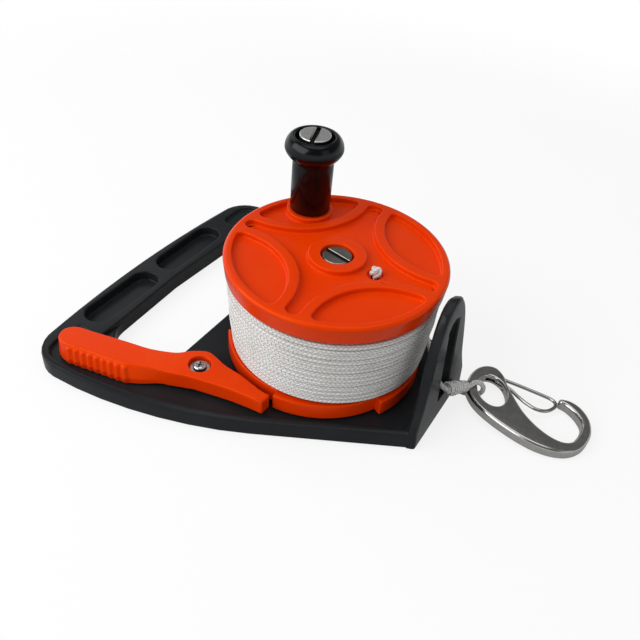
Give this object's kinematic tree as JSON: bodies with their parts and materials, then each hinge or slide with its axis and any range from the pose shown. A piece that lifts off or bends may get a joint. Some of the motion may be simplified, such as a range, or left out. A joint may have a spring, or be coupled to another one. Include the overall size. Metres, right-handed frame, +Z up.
{
  "type": "dive reel",
  "caption": "Hand-held dive reel: black loop-handle frame, orange spool of white braided line with a crank knob, sprung lock lever, line guide and snap hook.",
  "frame": {"origin": "on the ground, under the middle of the frame's bounding box without the free line and snap hook", "axes": "+X from the handle bar to the line guide, +Z up along the spool's axle"},
  "size_m": [0.2304, 0.1598, 0.0977],
  "materials": {
    "black_plastic": "satin moulded",
    "gloss_black": "polished",
    "orange_plastic": "satin gloss",
    "steel": "turned stainless",
    "dark_steel": "cast, tumbled",
    "braid": "braided line"
  },
  "bodies": {
    "frame": {"frame": "black_plastic", "axle_bolt": "steel", "axle_sleeve": "steel", "axle_washer_upper": "steel", "axle_washer_lower": "steel", "axle_nut": "steel", "lever_bush": "steel", "lever_washer": "steel", "lever_screw": "steel", "lever_spring": "steel", "line_lead": "braid", "line_whipping": "braid", "line_eye_loop": "braid", "snap_body": "dark_steel", "gate_pin": "dark_steel"},
    "spool": {"spool_flange": "orange_plastic", "spool_drum": "orange_plastic", "ratchet_flange": "orange_plastic", "line_core": "braid", "line_winding": "braid", "line_end_knot": "braid", "knob_sleeve": "steel", "knob_washer": "steel", "knob_screw": "steel", "knob_nut": "steel"},
    "knob": {"knob_grip": "gloss_black"},
    "lever": {"lever": "orange_plastic"},
    "gate": {"snap_gate": "steel"}
  },
  "joints": [
    {"name": "spool_spin", "type": "hinge", "parent": "frame", "child": "spool", "pos_m": [0.0263, 0, 0], "axis": [0, 0, 1], "continuous": true},
    {"name": "knob_spin", "type": "hinge", "parent": "spool", "child": "knob", "pos_m": [-0.00163, 0.02303, 0], "axis": [0, 0, 1], "continuous": true},
    {"name": "lever_pivot", "type": "hinge", "parent": "frame", "child": "lever", "pos_m": [-0.0092, -0.0481, 0], "axis": [0, 0, -1], "range_deg": [-2.5, 8], "stiffness_Nm_per_rad": 0.8},
    {"name": "gate_swing", "type": "hinge", "parent": "frame", "child": "gate", "pos_m": [0.10022, 0.0318, 0.00464], "axis": [-0.0471, 0, -0.9989], "range_deg": [0, 12], "stiffness_Nm_per_rad": 0.02}
  ]
}
